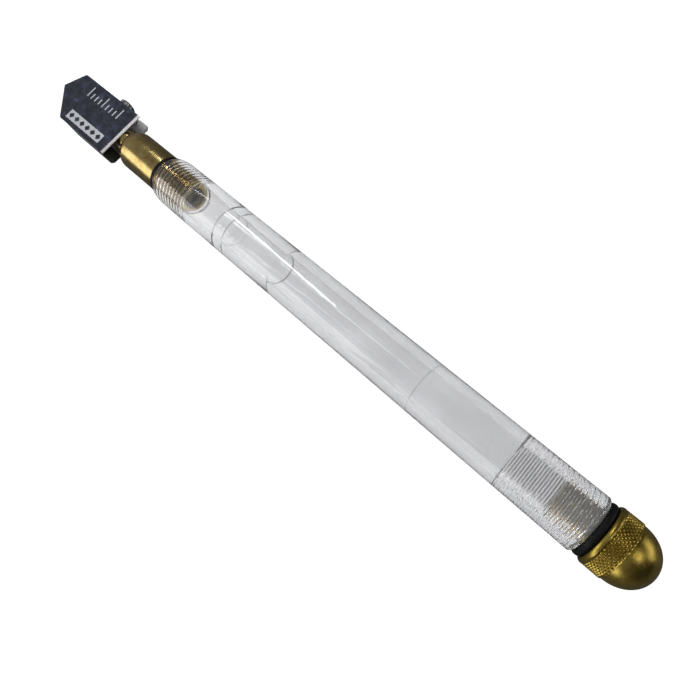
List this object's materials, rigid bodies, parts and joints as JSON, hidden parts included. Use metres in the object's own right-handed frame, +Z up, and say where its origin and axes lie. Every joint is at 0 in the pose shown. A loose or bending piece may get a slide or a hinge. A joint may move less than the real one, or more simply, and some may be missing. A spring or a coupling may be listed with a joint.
{
  "type": "glass cutter",
  "caption": "Pencil-grip oil glass cutter: clear acrylic oil tube, brass spindle and knurled cap, wide swivelling head with a small cutting wheel.",
  "frame": {"origin": "Under the middle of the whole cutter's box, on the surface that it lies on. The tool axis is 6.2 mm above it.", "axes": "+X along the tool axis from the cutting wheel to the end cap, +Z up out of the guide plate's face, +Y towards the lock screw's side"},
  "size_m": [0.1796, 0.0152, 0.0124],
  "materials": {
    "acrylic": "clear, slightly hazy",
    "brass": "turned, slightly tarnished",
    "chrome": "mirror plated, smudged",
    "steel": "satin",
    "carbide": "ground",
    "rubber": "matte black",
    "felt": "felt"
  },
  "bodies": {
    "handle": {"handle_tube": "acrylic", "front_seal_ring": "rubber", "spindle": "brass", "stem_seal_ring": "rubber", "valve_seal_ring": "rubber", "valve_spring": "steel", "spring_retainer": "brass"},
    "valve": {"valve_stem": "brass", "valve_head": "brass"},
    "head": {"guide_plate": "chrome", "head_body": "steel", "wheel_axle": "steel", "oil_wick": "felt"},
    "wheel": {"cutting_wheel": "carbide"},
    "screw": {"lock_screw": "steel"},
    "cap_seal": {"rear_seal_ring": "rubber"},
    "cap": {"end_cap": "brass"}
  },
  "joints": [
    {"name": "head_press", "type": "slide", "parent": "handle", "child": "valve", "axis": [1, 0, 0], "range_m": [0, 0.0005], "stiffness_N_per_m": 2000, "springref_m": -0.0005, "deforming": ["valve_spring"]},
    {"name": "head_swivel", "type": "hinge", "parent": "valve", "child": "head", "pos_m": [-0.0719, -0.00089, 0.0062], "axis": [1, 0, 0], "range_deg": [-15, 15]},
    {"name": "wheel_spin", "type": "hinge", "parent": "head", "child": "wheel", "pos_m": [-0.0873, -0.00014, 0.0062], "axis": [0, 0, 1], "continuous": true},
    {"name": "lock_screw_turn", "type": "hinge", "parent": "head", "child": "screw", "pos_m": [-0.0719, 0.00511, 0.0062], "axis": [0, 1, 0], "range_deg": [0, 360]},
    {"name": "cap_travel", "type": "slide", "parent": "handle", "child": "cap_seal", "axis": [1, 0, 0], "range_m": [0, 0.01]},
    {"name": "cap_turn", "type": "hinge", "parent": "cap_seal", "child": "cap", "pos_m": [0.0822, -0.00089, 0.0062], "axis": [1, 0, 0], "range_deg": [0, 3240]}
  ],
  "couplings": [
    {"joint": "cap_travel", "follows": "cap_turn", "m_per_rad": 0.00017507}
  ]
}
